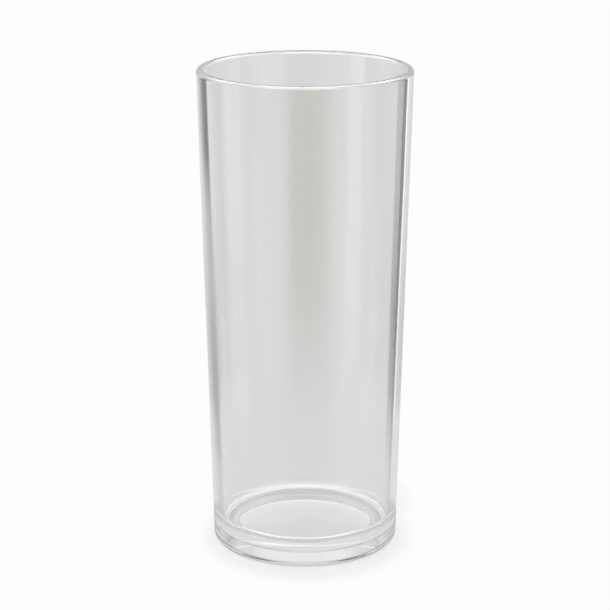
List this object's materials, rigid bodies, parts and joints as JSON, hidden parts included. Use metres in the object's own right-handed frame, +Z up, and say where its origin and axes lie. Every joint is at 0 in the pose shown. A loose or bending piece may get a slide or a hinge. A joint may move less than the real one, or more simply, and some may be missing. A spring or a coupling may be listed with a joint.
{
  "type": "tall tumbler",
  "caption": "Tall straight-sided tumbler of clear moulded glass, slightly wider at the rim than at the foot, with a thick floor over a shallow recess, for serving cold drinks.",
  "frame": {"origin": "on the glass's axis, at the level of the ring that it stands on", "axes": "+Z up along the axis of the glass, out of its mouth; the glass is round, so +X and +Y are free"},
  "size_m": [0.0664, 0.0664, 0.152],
  "materials": {
    "clear_glass": "fire-polished, smooth and clear"
  },
  "bodies": {
    "root": {"tumbler_body": "clear_glass"}
  },
  "joints": []
}
